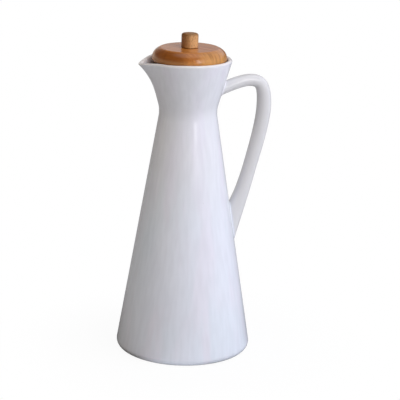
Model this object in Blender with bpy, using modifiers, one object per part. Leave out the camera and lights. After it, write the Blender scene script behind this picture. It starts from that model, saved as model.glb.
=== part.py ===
"""Ceramic oil bottle with a pulled spout, a side handle and a knobbed bamboo lid.

Metres, +Z up. The bottle stands on z = 0 with the handle towards +X and the spout towards -X.
The origin is the middle of the bottle's outline on the table, so the vertical axis of the
vessel and its lid stands a little to the spout side of it.
"""

from math import acos, atan2, cos, pi, radians, sin, sqrt, tan

import bmesh
import bpy
from mathutils import Matrix, Vector

# Clearance between pieces that touch on the real bottle
GAP = 0.0003

# Vessel: a tall cone that narrows to a waist, then a collar that opens to the rim
BASE_RADIUS = 0.0538
BASE_EDGE_RADIUS = 0.0046
WAIST_RADIUS = 0.0220
WAIST_HEIGHT = 0.1928
WAIST_ROUNDING = 0.0240
RIM_RADIUS = 0.0334
RIM_HEIGHT = 0.2333
LIP_THICKNESS = 0.0034
LIP_ROUNDING_SHARE = 0.45
WALL = 0.0036
FLOOR_THICKNESS = 0.004
FLOOR_ROUNDING = 0.009
FOOT_RECESS = 0.002
FOOT_RING_WIDTH = 0.0042
FOOT_RING_BEVEL = 0.0008

# Spout: the top of the collar pulled out to a soft point
SPOUT_REACH = 0.0413
SPOUT_START = 0.203
SPOUT_CURVE = 2.1
SPOUT_HALF_ANGLE = radians(37.5)
SPOUT_NOSE_ANGLE = radians(6.5)
SPOUT_DIP = 0.0029

# Handle: a soft oval that leaves the collar, bends over a crown and runs down to the body.
# Its upper places are measured down from the rim, its lower ones up from the table.
HANDLE_REACH = 0.0671
HANDLE_CROWN_DROP = 0.0138
HANDLE_CROWN_X = 0.0490
HANDLE_UPPER_ROOT_DROP = 0.0273
HANDLE_UPPER_ROOT_DEPTH = 0.0056
HANDLE_UPPER_ROOT_SLOPE = 0.42
HANDLE_SIDE_DROP = 0.0383
HANDLE_LIMB_HEIGHT = 0.1430
HANDLE_LIMB_STANDOFF = 0.0206
HANDLE_LIMB_SLOPE = 0.262
HANDLE_LOWER_ROOT_HEIGHT = 0.0800
HANDLE_LOWER_ROOT_SLOPE = 0.29
HANDLE_LOWER_ROOT_DEPTH = 0.0089

# Handle: section of its limb, and the section elsewhere as a share of that
HANDLE_THICKNESS = 0.0112
HANDLE_WIDTH = 0.0130
HANDLE_ROUNDNESS = 0.62
HANDLE_UPPER_ROOT_SHARE = 0.82
HANDLE_ARM_SHARE = 0.81
HANDLE_LIMB_SHARE = 0.91
HANDLE_LOWER_ROOT_SHARE = 1.18

# Handle: how far its bends reach along the arm, round the shoulder and along the limb
HANDLE_ARM_EASE = 0.008
HANDLE_SHOULDER_ALONG = 0.0098
HANDLE_SHOULDER_DOWN = 0.0143
HANDLE_LIMB_EASE = 0.014

# Lid: a turned disc with a flat top and a rounded shoulder
LID_RADIUS = 0.0289
LID_TOP_RADIUS = 0.0226
LID_UNDERSIDE_RADIUS = 0.0245
LID_THICKNESS = 0.0115
LID_SHOULDER = 0.0084
LID_SINK = 0.0031

# Knob, a plain turned stub glued on a dowel
KNOB_RADIUS = 0.00655
KNOB_HEIGHT = 0.0110
KNOB_EDGE = 0.0016
DOWEL_RADIUS = 0.003
DOWEL_IN_KNOB = 0.0065
DOWEL_IN_PLUG = 0.0100
DOWEL_CHAMFER = 0.0004

# Plug under the lid and the silicone ring in its groove
PLUG_DEPTH = 0.0185
PLUG_CLEARANCE = 0.0018
PLUG_CHAMFER = 0.001
SEAL_ABOVE_PLUG_FOOT = 0.0030
SEAL_HEIGHT = 0.0046
SEAL_GROOVE_DEPTH = 0.0026
SEAL_LIP_EDGE = 0.0009
SEAL_LIP_ROOT = 0.0014
SEAL_LIP_SPACING = 0.0028

# Steps round the turned pieces and over each rounded corner
VESSEL_STEPS = 88
LID_STEPS = 56
SMALL_STEPS = 32
CORNER_STEPS = 5
SPOUT_RINGS = 4
HANDLE_STEPS = 10
HANDLE_SECTION_STEPS = 4

# How far a cutter runs past what it cuts
CUTTER_MARGIN = 0.02

# Points of a piece that are nearer than this are one point
WELD = 0.00001

# Worked out from the sizes above
CONE_SLOPE = (BASE_RADIUS - WAIST_RADIUS) / WAIST_HEIGHT
COLLAR_SLOPE = (RIM_RADIUS - WAIST_RADIUS) / (RIM_HEIGHT - WAIST_HEIGHT)
MOUTH_RADIUS = RIM_RADIUS - LIP_THICKNESS
BORE_WAIST_RADIUS = WAIST_RADIUS - WALL
BORE_COLLAR_SLOPE = (MOUTH_RADIUS - BORE_WAIST_RADIUS) / (RIM_HEIGHT - WAIST_HEIGHT)
EDGE_HALF_ANGLE = (pi / 2 - atan2(BASE_RADIUS - WAIST_RADIUS, WAIST_HEIGHT)) / 2
WIDEST_RADIUS = BASE_RADIUS - BASE_EDGE_RADIUS * (1 / tan(EDGE_HALF_ANGLE) - 1)
FOOT_RING_RADIUS = BASE_RADIUS - BASE_EDGE_RADIUS / tan(EDGE_HALF_ANGLE)
INNER_FLOOR = FOOT_RECESS + FLOOR_THICKNESS
AXIS_X = (WIDEST_RADIUS - HANDLE_REACH) / 2
LID_UNDERSIDE = RIM_HEIGHT - LID_SINK
LID_TOP = LID_UNDERSIDE + LID_THICKNESS
KNOB_TOP = LID_TOP + KNOB_HEIGHT
PLUG_TOP = LID_UNDERSIDE - GAP
PLUG_FOOT = PLUG_TOP - PLUG_DEPTH
SEAL_FOOT = PLUG_FOOT + SEAL_ABOVE_PLUG_FOOT
SEAL_TOP = SEAL_FOOT + SEAL_HEIGHT
DOWEL_HOLE_RADIUS = DOWEL_RADIUS + GAP
DOWEL_FOOT = PLUG_TOP - DOWEL_IN_PLUG
DOWEL_TOP = LID_TOP + GAP + DOWEL_IN_KNOB


def cone_radius(height):
    """Outer radius of the body's cone."""
    return BASE_RADIUS - CONE_SLOPE * height


def collar_radius(height):
    """Outer radius of the collar away from the spout."""
    return RIM_RADIUS - COLLAR_SLOPE * (RIM_HEIGHT - height)


def collar_bore(height):
    """Inner radius of the collar away from the spout."""
    return MOUTH_RADIUS - BORE_COLLAR_SLOPE * (RIM_HEIGHT - height)


PLUG_RADIUS = collar_bore(PLUG_FOOT) - PLUG_CLEARANCE
GROOVE_RADIUS = PLUG_RADIUS - SEAL_GROOVE_DEPTH


def rounded_corner(before, corner, after, radius):
    """Arc of a radius that replaces a corner between two straight runs."""
    towards_before = (before - corner).normalized()
    towards_after = (after - corner).normalized()
    half_angle = acos(towards_before.dot(towards_after)) / 2
    centre = corner + (towards_before + towards_after).normalized() * radius / sin(half_angle)
    start = corner + towards_before * radius / tan(half_angle) - centre
    end = corner + towards_after * radius / tan(half_angle) - centre
    turn = acos(max(-1.0, min(1.0, start.dot(end) / radius ** 2)))
    if start.x * end.y - start.y * end.x < 0:
        turn = -turn
    return [centre + Matrix.Rotation(turn * i / CORNER_STEPS, 2) @ start
            for i in range(CORNER_STEPS + 1)]


def outline(*corners):
    """Points through (radius, height) corners; a third number rounds its corner by that radius."""
    points = []
    for i, corner in enumerate(corners):
        here = Vector(corner[:2])
        if len(corner) == 2:
            points.append(here)
            continue
        before = Vector(corners[i - 1][:2])
        after = Vector(corners[(i + 1) % len(corners)][:2])
        points += rounded_corner(before, here, after, corner[2])
    return points


def quarter_curve(start, end, upright_at_start):
    """Quarter of an ellipse from start to end, upright at one end and level at the other."""
    points = []
    for i in range(CORNER_STEPS + 1):
        turn = pi / 2 * i / CORNER_STEPS
        if upright_at_start:
            share_x, share_z = 1 - cos(turn), sin(turn)
        else:
            share_x, share_z = sin(turn), 1 - cos(turn)
        points.append(Vector((start[0] + (end[0] - start[0]) * share_x,
                              start[1] + (end[1] - start[1]) * share_z)))
    return points


def spout_rings(radius_at, rim_radius):
    """Corners up one side of the collar, which let it bend into the spout."""
    start = Vector((radius_at(SPOUT_START), SPOUT_START))
    rim = Vector((rim_radius, RIM_HEIGHT))
    return [tuple(start.lerp(rim, i / (SPOUT_RINGS + 1))) for i in range(1, SPOUT_RINGS + 1)]


def new_material(name, colour, roughness, metallic=0.0):
    material = bpy.data.materials.new(name)
    material.use_nodes = True
    shader = material.node_tree.nodes["Principled BSDF"]
    shader.inputs["Base Color"].default_value = (*colour, 1.0)
    shader.inputs["Roughness"].default_value = roughness
    shader.inputs["Metallic"].default_value = metallic
    material.diffuse_color = (*colour, 1.0)
    return material


def place(obj, collection, parent=None, material=None):
    collection.objects.link(obj)
    obj.parent = parent
    if material:
        obj.data.materials.append(material)
    return obj


def turned(name, points, steps, collection, parent=None, material=None, closed=False):
    """Solid of revolution: the outline runs down the outer side of the piece."""
    mesh = bpy.data.meshes.new(name)
    edges = [(i, i + 1) for i in range(len(points) - 1)]
    if closed:
        edges.append((len(points) - 1, 0))
    mesh.from_pydata([(point[0], 0.0, point[1]) for point in points], edges, [])
    obj = place(bpy.data.objects.new(name, mesh), collection, parent, material)
    screw = obj.modifiers.new("turn", 'SCREW')
    screw.axis = 'Z'
    screw.angle = 2 * pi
    screw.steps = steps
    screw.render_steps = steps
    screw.use_merge_vertices = True
    screw.merge_threshold = WELD
    screw.use_normal_calculate = False
    screw.use_smooth_shade = True
    return obj


def made_mesh(obj, name):
    """New mesh of the shape that an object's modifiers or curve settings give."""
    evaluated = obj.evaluated_get(bpy.context.evaluated_depsgraph_get())
    mesh = bpy.data.meshes.new_from_object(evaluated)
    mesh.name = name
    return mesh


def weld(mesh):
    """Join the mesh's doubled points and turn its faces outward."""
    shell = bmesh.new()
    shell.from_mesh(mesh)
    bmesh.ops.remove_doubles(shell, verts=shell.verts, dist=WELD)
    bmesh.ops.recalc_face_normals(shell, faces=shell.faces)
    shell.to_mesh(mesh)
    shell.free()


def shade(obj):
    obj.data.shade_smooth()
    obj.data.set_sharp_from_angle(angle=radians(35))


def spout_pull(x, y, height):
    """How far a point of the collar is drawn out, as a share of the full reach at the tip."""
    rise = (height - SPOUT_START) / (RIM_HEIGHT - SPOUT_START)
    if rise <= 0:
        return 0.0
    from_tip = sqrt(atan2(y, -x) ** 2 + SPOUT_NOSE_ANGLE ** 2)
    if from_tip >= SPOUT_HALF_ANGLE:
        return 0.0
    straight_side = 1 / cos(SPOUT_HALF_ANGLE - from_tip) - 1
    at_tip = 1 / cos(SPOUT_HALF_ANGLE - SPOUT_NOSE_ANGLE) - 1
    return rise ** SPOUT_CURVE * straight_side / at_tip


def vessel_outline():
    """Inner floor, up the inner wall, over the lip, down the outside and under the foot."""
    lip_rounding = LIP_THICKNESS * LIP_ROUNDING_SHARE
    ring_inner = FOOT_RING_RADIUS - FOOT_RING_WIDTH
    return outline(
        (0.0, INNER_FLOOR),
        (cone_radius(INNER_FLOOR) - WALL, INNER_FLOOR, FLOOR_ROUNDING),
        (BORE_WAIST_RADIUS, WAIST_HEIGHT, WAIST_ROUNDING + WALL),
        *spout_rings(collar_bore, MOUTH_RADIUS),
        (MOUTH_RADIUS, RIM_HEIGHT, lip_rounding),
        (RIM_RADIUS, RIM_HEIGHT, lip_rounding),
        *reversed(spout_rings(collar_radius, RIM_RADIUS)),
        (WAIST_RADIUS, WAIST_HEIGHT, WAIST_ROUNDING),
        (BASE_RADIUS, 0.0, BASE_EDGE_RADIUS),
        (ring_inner, 0.0),
        (ring_inner - FOOT_RING_BEVEL, FOOT_RECESS),
        (0.0, FOOT_RECESS),
    )


def make_vessel(collection, axis, material):
    """Turned shell whose collar is then drawn out into the spout, inside and outside alike."""
    blank = turned("vessel_blank", vessel_outline(), VESSEL_STEPS, collection)
    mesh = made_mesh(blank, "vessel_body")
    bpy.data.objects.remove(blank)
    for vertex in mesh.vertices:
        x, y, height = vertex.co
        pull = spout_pull(x, y, height)
        if pull > 0:
            stretch = 1 + pull * (SPOUT_REACH / RIM_RADIUS - 1)
            vertex.co = (x * stretch, y * stretch, height - SPOUT_DIP * pull)
    vessel = place(bpy.data.objects.new("vessel_body", mesh), collection, axis, material)
    shade(vessel)


def as_cutter(obj):
    obj.hide_render = True
    obj.display_type = 'WIRE'
    return obj


def make_handle_section(cutters):
    """Soft oval the size of the handle's limb, as the bevel of its centre line."""
    curve = bpy.data.curves.new("handle_section", 'CURVE')
    curve.dimensions = '2D'
    curve.resolution_u = HANDLE_SECTION_STEPS
    spline = curve.splines.new('BEZIER')
    spline.use_cyclic_u = True
    thick = Vector((0.0, HANDLE_THICKNESS / 2, 0.0))
    wide = Vector((HANDLE_WIDTH / 2, 0.0, 0.0))
    corners = ((wide, thick), (thick, -wide), (-wide, -thick), (-thick, wide))
    spline.bezier_points.add(len(corners) - 1)
    for point, (spot, towards_next) in zip(spline.bezier_points, corners):
        point.co = spot
        point.handle_left = spot - towards_next * HANDLE_ROUNDNESS
        point.handle_right = spot + towards_next * HANDLE_ROUNDNESS
    return as_cutter(place(bpy.data.objects.new("handle_section", curve), cutters))


def handle_stations():
    """Place, direction, reach of the bend before and after, and share of the section."""
    upper_root_z = RIM_HEIGHT - HANDLE_UPPER_ROOT_DROP
    crown_z = RIM_HEIGHT - HANDLE_CROWN_DROP - HANDLE_THICKNESS * HANDLE_ARM_SHARE / 2
    limb_x = cone_radius(HANDLE_LIMB_HEIGHT) + HANDLE_LIMB_STANDOFF
    return (
        ((collar_radius(upper_root_z) - HANDLE_UPPER_ROOT_DEPTH, upper_root_z),
         (1.0, HANDLE_UPPER_ROOT_SLOPE), HANDLE_ARM_EASE, HANDLE_ARM_EASE, HANDLE_UPPER_ROOT_SHARE),
        ((HANDLE_CROWN_X, crown_z),
         (1.0, 0.0), HANDLE_ARM_EASE, HANDLE_SHOULDER_ALONG, HANDLE_ARM_SHARE),
        ((HANDLE_REACH - HANDLE_THICKNESS / 2, RIM_HEIGHT - HANDLE_SIDE_DROP),
         (0.0, -1.0), HANDLE_SHOULDER_DOWN, HANDLE_LIMB_EASE, 1.0),
        ((limb_x, HANDLE_LIMB_HEIGHT),
         (-HANDLE_LIMB_SLOPE, -1.0), HANDLE_LIMB_EASE, HANDLE_LIMB_EASE, HANDLE_LIMB_SHARE),
        ((cone_radius(HANDLE_LOWER_ROOT_HEIGHT) - HANDLE_LOWER_ROOT_DEPTH, HANDLE_LOWER_ROOT_HEIGHT),
         (-HANDLE_LOWER_ROOT_SLOPE, -1.0), HANDLE_LIMB_EASE, HANDLE_LIMB_EASE, HANDLE_LOWER_ROOT_SHARE),
    )


def make_handle(collection, cutters, axis, material):
    """Oval tube along one smooth line from collar to body, its ends cut to the wall."""
    stations = handle_stations()
    curve = bpy.data.curves.new("handle_line", 'CURVE')
    curve.dimensions = '3D'
    curve.resolution_u = HANDLE_STEPS
    curve.twist_mode = 'MINIMUM'
    curve.bevel_mode = 'OBJECT'
    curve.bevel_object = make_handle_section(cutters)
    curve.use_fill_caps = True
    spline = curve.splines.new('BEZIER')
    spline.bezier_points.add(len(stations) - 1)
    for point, (spot, heading, before, after, share) in zip(spline.bezier_points, stations):
        spot = Vector((spot[0], 0.0, spot[1]))
        heading = Vector((heading[0], 0.0, heading[1])).normalized()
        point.co = spot
        point.handle_left = spot - heading * before
        point.handle_right = spot + heading * after
        point.radius = share
    line = place(bpy.data.objects.new("handle_line", curve), cutters)
    mesh = made_mesh(line, "handle")
    bpy.data.objects.remove(line)
    weld(mesh)
    handle = place(bpy.data.objects.new("handle", mesh), collection, axis, material)
    wall = handle.modifiers.new("meet_wall", 'BOOLEAN')
    wall.operation = 'DIFFERENCE'
    wall.solver = 'EXACT'
    wall.object = make_wall_cutter(cutters, axis)
    shade(handle)


def make_wall_cutter(cutters, axis):
    """The vessel's outside, one gap larger, for the handle's ends."""
    above = RIM_HEIGHT + CUTTER_MARGIN
    points = outline(
        (0.0, above),
        (collar_radius(above) + GAP, above),
        (WAIST_RADIUS + GAP, WAIST_HEIGHT, WAIST_ROUNDING),
        (BASE_RADIUS + GAP, 0.0),
        (0.0, 0.0),
    )
    return as_cutter(turned("wall_cutter", points, VESSEL_STEPS, cutters, axis))


def make_lid_disc(collection, axis, material):
    """Disc with a flat top, a long rounded shoulder and a hole for the dowel."""
    top_edge = (LID_TOP_RADIUS, LID_TOP)
    widest = (LID_RADIUS, LID_TOP - LID_SHOULDER)
    bottom_edge = (LID_UNDERSIDE_RADIUS, LID_UNDERSIDE)
    points = [
        (DOWEL_HOLE_RADIUS, LID_TOP),
        *quarter_curve(top_edge, widest, False),
        *quarter_curve(widest, bottom_edge, True)[1:],
        (DOWEL_HOLE_RADIUS, LID_UNDERSIDE),
    ]
    turned("lid_disc", points, LID_STEPS, collection, axis, material, closed=True)


def make_knob(collection, axis, material):
    """Plain stub with a rounded top edge and a blind hole for the dowel."""
    points = outline(
        (0.0, KNOB_TOP),
        (KNOB_RADIUS, KNOB_TOP, KNOB_EDGE),
        (KNOB_RADIUS, LID_TOP + GAP),
        (DOWEL_HOLE_RADIUS, LID_TOP + GAP),
        (DOWEL_HOLE_RADIUS, DOWEL_TOP + GAP),
        (0.0, DOWEL_TOP + GAP),
    )
    turned("knob", points, SMALL_STEPS, collection, axis, material)


def make_dowel(collection, axis, material):
    """Pin with chamfered ends that joins the knob, the disc and the plug."""
    points = outline(
        (0.0, DOWEL_TOP),
        (DOWEL_RADIUS - DOWEL_CHAMFER, DOWEL_TOP),
        (DOWEL_RADIUS, DOWEL_TOP - DOWEL_CHAMFER),
        (DOWEL_RADIUS, DOWEL_FOOT + DOWEL_CHAMFER),
        (DOWEL_RADIUS - DOWEL_CHAMFER, DOWEL_FOOT),
        (0.0, DOWEL_FOOT),
    )
    turned("lid_dowel", points, SMALL_STEPS, collection, axis, material)


def make_plug(collection, axis, material):
    """Straight plug with a groove for the ring and a blind hole for the dowel."""
    points = outline(
        (0.0, DOWEL_FOOT - GAP),
        (DOWEL_HOLE_RADIUS, DOWEL_FOOT - GAP),
        (DOWEL_HOLE_RADIUS, PLUG_TOP),
        (PLUG_RADIUS, PLUG_TOP),
        (PLUG_RADIUS, SEAL_TOP + GAP),
        (GROOVE_RADIUS, SEAL_TOP + GAP),
        (GROOVE_RADIUS, SEAL_FOOT - GAP),
        (PLUG_RADIUS, SEAL_FOOT - GAP),
        (PLUG_RADIUS, PLUG_FOOT + PLUG_CHAMFER),
        (PLUG_RADIUS - PLUG_CHAMFER, PLUG_FOOT),
        (0.0, PLUG_FOOT),
    )
    turned("lid_plug", points, LID_STEPS, collection, axis, material)


def make_seal(collection, axis, material):
    """Silicone ring: a band in the plug's groove with two lips that reach the collar."""
    inner = GROOVE_RADIUS + GAP
    band = PLUG_RADIUS + GAP
    points = [(inner, SEAL_FOOT), (inner, SEAL_TOP)]
    for lip_top in (SEAL_TOP, SEAL_TOP - SEAL_LIP_SPACING):
        lip_underside = lip_top - SEAL_LIP_EDGE
        tip = collar_bore(lip_underside) - GAP
        points += [(band, lip_top), (tip, lip_top), (tip, lip_underside), (band, lip_top - SEAL_LIP_ROOT)]
    points += [(band, SEAL_FOOT)]
    turned("seal_ring", points, LID_STEPS, collection, axis, material, closed=True)


def main():
    for obj in list(bpy.data.objects):
        bpy.data.objects.remove(obj, do_unlink=True)
    bottle = bpy.data.collections.new("oil_bottle")
    cutters = bpy.data.collections.new("cutters")
    bpy.context.scene.collection.children.link(bottle)
    bpy.context.scene.collection.children.link(cutters)

    axis = bpy.data.objects.new("bottle_axis", None)
    axis.location = (AXIS_X, 0.0, 0.0)
    bottle.objects.link(axis)

    glaze = new_material("white_glaze", (0.80, 0.80, 0.84), 0.12)
    bamboo = new_material("lacquered_bamboo", (0.52, 0.26, 0.08), 0.25)
    knob_bamboo = new_material("knob_bamboo", (0.62, 0.36, 0.15), 0.32)
    plug_bamboo = new_material("plug_bamboo", (0.60, 0.38, 0.18), 0.45)
    dowel_wood = new_material("dowel_wood", (0.66, 0.47, 0.27), 0.60)
    silicone = new_material("clear_silicone", (0.78, 0.78, 0.75), 0.40)

    make_vessel(bottle, axis, glaze)
    make_handle(bottle, cutters, axis, glaze)
    make_lid_disc(bottle, axis, bamboo)
    make_knob(bottle, axis, knob_bamboo)
    make_dowel(bottle, axis, dowel_wood)
    make_plug(bottle, axis, plug_bamboo)
    make_seal(bottle, axis, silicone)


main()
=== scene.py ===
"""Looks of the oil bottle: glazed vessel and handle, turned bamboo lid, silicone ring, studio."""

from math import acos, ceil, cos, hypot, pi, radians, sin, tan

import bmesh
import bpy
from mathutils import Matrix, Vector


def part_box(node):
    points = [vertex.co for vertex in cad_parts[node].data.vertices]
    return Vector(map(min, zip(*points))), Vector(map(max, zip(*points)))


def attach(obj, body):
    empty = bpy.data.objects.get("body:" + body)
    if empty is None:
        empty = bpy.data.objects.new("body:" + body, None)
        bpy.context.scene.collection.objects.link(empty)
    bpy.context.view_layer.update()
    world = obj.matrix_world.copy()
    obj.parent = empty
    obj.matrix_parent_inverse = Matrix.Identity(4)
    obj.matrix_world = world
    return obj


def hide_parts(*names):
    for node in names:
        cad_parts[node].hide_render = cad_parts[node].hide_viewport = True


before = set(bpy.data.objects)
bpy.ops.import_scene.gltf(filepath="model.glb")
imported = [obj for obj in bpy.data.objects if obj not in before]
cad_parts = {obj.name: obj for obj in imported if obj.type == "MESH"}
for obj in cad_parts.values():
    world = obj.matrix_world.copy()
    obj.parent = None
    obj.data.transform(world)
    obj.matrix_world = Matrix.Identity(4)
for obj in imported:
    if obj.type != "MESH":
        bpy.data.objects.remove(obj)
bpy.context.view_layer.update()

# The boxes of the bottle's parts: metres, +Z up, spout towards -X, handle towards +X
VESSEL_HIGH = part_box("vessel_body")[1]
HANDLE_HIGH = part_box("handle")[1]
DISC_LOW, DISC_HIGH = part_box("lid_disc")
KNOB_LOW, KNOB_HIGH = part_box("knob")
PLUG_LOW, PLUG_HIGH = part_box("lid_plug")
DOWEL_LOW, DOWEL_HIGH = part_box("lid_dowel")
SEAL_LOW, SEAL_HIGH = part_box("seal_ring")
AXIS_X = (DISC_LOW.x + DISC_HIGH.x) / 2

# Clearance between parts, and how far a finished surface stays inside its box
GAP = 0.0003
SKIN = 0.00007

# Vessel
BASE_RADIUS = 0.0538
BASE_EDGE_RADIUS = 0.0046
WAIST_RADIUS = 0.0220
WAIST_HEIGHT = 0.1928
WAIST_ROUNDING = 0.0240
RIM_RADIUS = 0.0334
RIM_HEIGHT = VESSEL_HIGH.z
LIP_THICKNESS = 0.0034
LIP_ROUNDING = 0.00153
WALL = 0.0036
FLOOR_THICKNESS = 0.004
FLOOR_ROUNDING = 0.009
FOOT_RECESS = 0.002
FOOT_RING_WIDTH = 0.0042
FOOT_RING_BEVEL = 0.0008
FOOT_RING_EDGE = 0.0003

# Spout
SPOUT_REACH = 0.0413
SPOUT_START = 0.203
SPOUT_CURVE = 2.1
SPOUT_HALF_ANGLE = radians(37.5)
SPOUT_NOSE_ANGLE = radians(6.5)
SPOUT_DIP = 0.0021

# Sag of the rim beside the spout, and the angles from the tip towards -Y where it begins and fades
RIM_SAG = 0.0008
RIM_SAG_BEGINS = (radians(-30), 0.0)
RIM_SAG_FADES = (radians(35), radians(80))

# Handle, outwards from the vessel's axis, down from the rim and up from the table
HANDLE_REACH = HANDLE_HIGH.x - AXIS_X - SKIN
HANDLE_CROWN_DROP = RIM_HEIGHT - HANDLE_HIGH.z + SKIN
HANDLE_CROWN_X = 0.0490
HANDLE_UPPER_ROOT_DROP = 0.0273
HANDLE_UPPER_ROOT_DEPTH = 0.0056
HANDLE_UPPER_ROOT_SLOPE = 0.42
HANDLE_SIDE_DROP = 0.0383
HANDLE_LIMB_HEIGHT = 0.1430
HANDLE_LIMB_STANDOFF = 0.0206
HANDLE_LIMB_SLOPE = 0.262
HANDLE_LOWER_ROOT_HEIGHT = 0.0800
HANDLE_LOWER_ROOT_DEPTH = 0.0089
HANDLE_LOWER_ROOT_SLOPE = 0.29

# Handle: section of the limb, shares of it elsewhere, and the reach of the bends
HANDLE_THICKNESS = 0.0112
HANDLE_WIDTH = 0.0130
HANDLE_ROUNDNESS = 0.62
HANDLE_UPPER_ROOT_SHARE = 0.82
HANDLE_ARM_SHARE = 0.81
HANDLE_LIMB_SHARE = 0.91
HANDLE_LOWER_ROOT_SHARE = 1.18
HANDLE_ARM_EASE = 0.008
HANDLE_SHOULDER_ALONG = 0.0098
HANDLE_SHOULDER_DOWN = 0.0143
HANDLE_LIMB_EASE = 0.014

# Where the handle flows into the wall: reach of the fillet in the crotch, at the flanks, and outside
UPPER_FILLET = (0.0034, 0.0016, 0.0026)
LOWER_FILLET = (0.0026, 0.0003, 0.0020)
FILLET_STEPS = 10
CROTCH_FLARE = 0.9
CROTCH_FLARE_TOP = 0.131
CROTCH_FLARE_BOTTOM = 0.100
ROOT_SINK = 0.00005
ROOT_DEPTH = 0.0009

# Lid
LID_RADIUS = (DISC_HIGH.x - DISC_LOW.x) / 2
LID_TOP_RADIUS = 0.0226
LID_UNDERSIDE_RADIUS = 0.0245
LID_SHOULDER = 0.0084
LID_EDGE = 0.0004
LID_SHOULDER_FALL = radians(22)
LID_SHOULDER_REACH = 0.0042
KNOB_RADIUS = (KNOB_HIGH.y - KNOB_LOW.y) / 2
KNOB_EDGE = 0.0016
DOWEL_RADIUS = (DOWEL_HIGH.y - DOWEL_LOW.y) / 2
DOWEL_CHAMFER = 0.0004
DOWEL_FLUTES = 12
DOWEL_FLUTE_SHARE = 0.04
DOWEL_HOLE_RADIUS = DOWEL_RADIUS + GAP
PLUG_RADIUS = (PLUG_HIGH.y - PLUG_LOW.y) / 2
PLUG_CHAMFER = 0.001
TOOLED_EDGE = 0.0003

# Seal
SEAL_RADIUS = (SEAL_HIGH.y - SEAL_LOW.y) / 2
SEAL_GROOVE_DEPTH = 0.0026
SEAL_LIP_EDGE = 0.0009
SEAL_LIP_ROOT = 0.0014
SEAL_LIP_SPACING = 0.0028
SEAL_LOWER_LIP_RADIUS = SEAL_RADIUS - 0.00078

# Fineness of the surfaces
VESSEL_STEPS = 240
LID_STEPS = 160
SMALL_STEPS = 96
RUN_STEP = 0.0025
ARC_RUN = 0.001
ARC_STEP = radians(8)
HANDLE_RINGS = 150
HANDLE_SIDES = 48
BEND_STEPS = 40
SHARE_SMOOTHING = 20
WELD = 0.000001
SHARP = radians(40)

# Camera: where it stands, the point it looks at, its roll and its lens
CAMERA_AZIMUTH = radians(-15.3)
CAMERA_RIGHT = Vector((cos(CAMERA_AZIMUTH), sin(CAMERA_AZIMUTH), 0.0))
CAMERA_NEAR = Vector((sin(CAMERA_AZIMUTH), -cos(CAMERA_AZIMUTH), 0.0))
CAMERA_DISTANCE = 1.2072
CAMERA_HEIGHT = 0.4635
AIM_RIGHT = 0.0111
AIM_HEIGHT = 0.1203
CAMERA_ROLL = radians(1.587)
LENS = 143.5
SENSOR = 36


class Number:
    """An output of a node that plain arithmetic turns into more nodes."""

    def __init__(self, nodes, socket):
        self.nodes = nodes
        self.socket = socket

    def __add__(self, other):
        return self.nodes.math('ADD', self, other)

    def __radd__(self, other):
        return self.nodes.math('ADD', other, self)

    def __sub__(self, other):
        return self.nodes.math('SUBTRACT', self, other)

    def __rsub__(self, other):
        return self.nodes.math('SUBTRACT', other, self)

    def __mul__(self, other):
        return self.nodes.math('MULTIPLY', self, other)

    def __rmul__(self, other):
        return self.nodes.math('MULTIPLY', other, self)

    def __truediv__(self, other):
        return self.nodes.math('DIVIDE', self, other)

    def __rtruediv__(self, other):
        return self.nodes.math('DIVIDE', other, self)

    def __pow__(self, other):
        return self.nodes.math('POWER', self, other)

    def __mod__(self, other):
        return self.nodes.math('FLOORED_MODULO', self, other)

    def of(self, name):
        """Another output of the same node."""
        return Number(self.nodes, named_socket(self.socket.node.outputs, name))


def named_socket(sockets, name):
    """The socket in use that has a name, or a place in the row."""
    if isinstance(name, int):
        return sockets[name]
    return next(socket for socket in sockets if socket.name == name and socket.enabled)


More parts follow.
